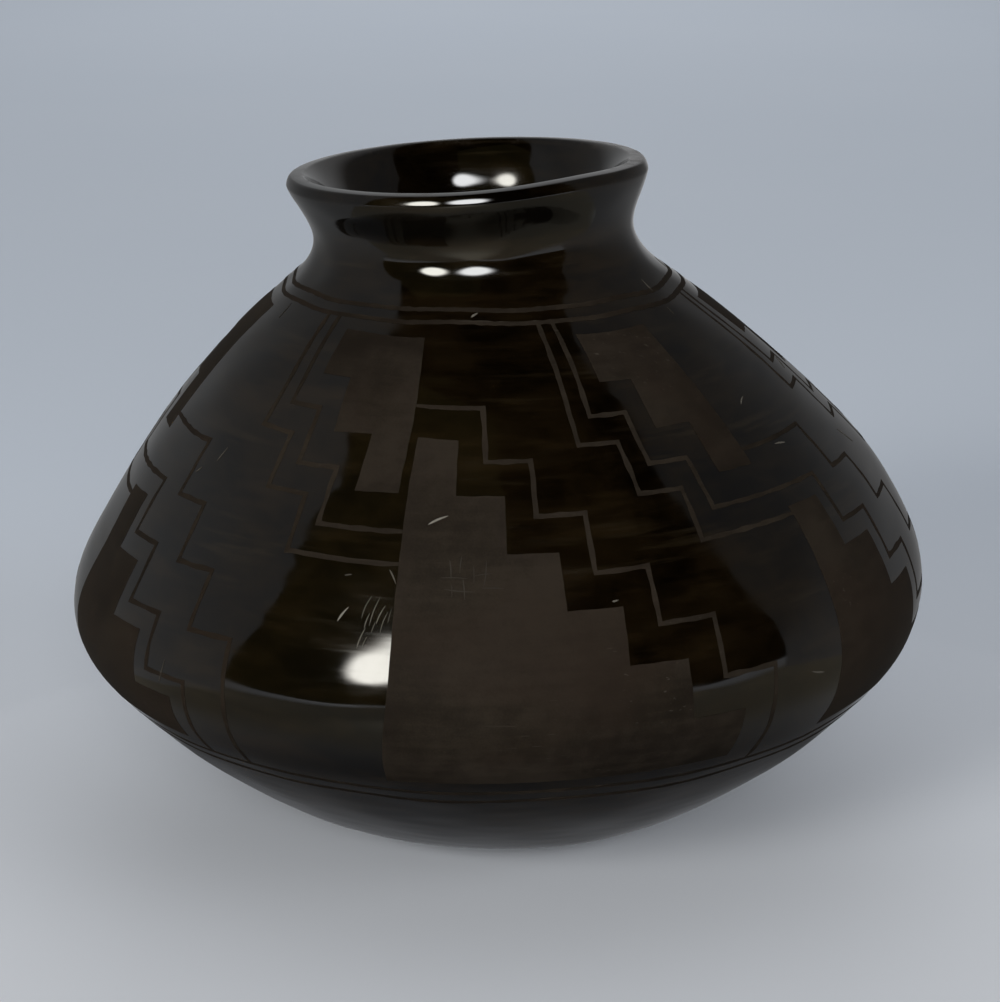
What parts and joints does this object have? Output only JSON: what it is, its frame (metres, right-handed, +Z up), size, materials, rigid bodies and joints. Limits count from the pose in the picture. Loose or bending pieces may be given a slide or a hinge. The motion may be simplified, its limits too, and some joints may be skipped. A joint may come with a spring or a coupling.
{
  "type": "blackware olla",
  "caption": "Hand-built smoke-fired clay jar with a low round belly, sloping shoulder, short waisted neck and flared lip, burnished black with matte painted bands; holds water or dry goods.",
  "frame": {"origin": "centre of the outline on the flat resting face", "axes": "+Z up; the pictured side faces -Y, with +X to the right of that view"},
  "size_m": [0.2158, 0.2158, 0.1675],
  "materials": {
    "burnished_blackware": "smoke-fired clay with stone-burnished slip, near black with a warm brown cast",
    "matte_slip": "unpolished painted slip, matte brown-black"
  },
  "bodies": {
    "root": {"base_slab": "burnished_blackware", "lower_wall_coil": "burnished_blackware", "under_belly_coil": "burnished_blackware", "belly_coil": "burnished_blackware", "lower_shoulder_coil": "burnished_blackware", "middle_shoulder_coil": "burnished_blackware", "upper_shoulder_coil": "burnished_blackware", "neck_coil": "burnished_blackware", "rim_coil": "burnished_blackware"}
  },
  "joints": []
}
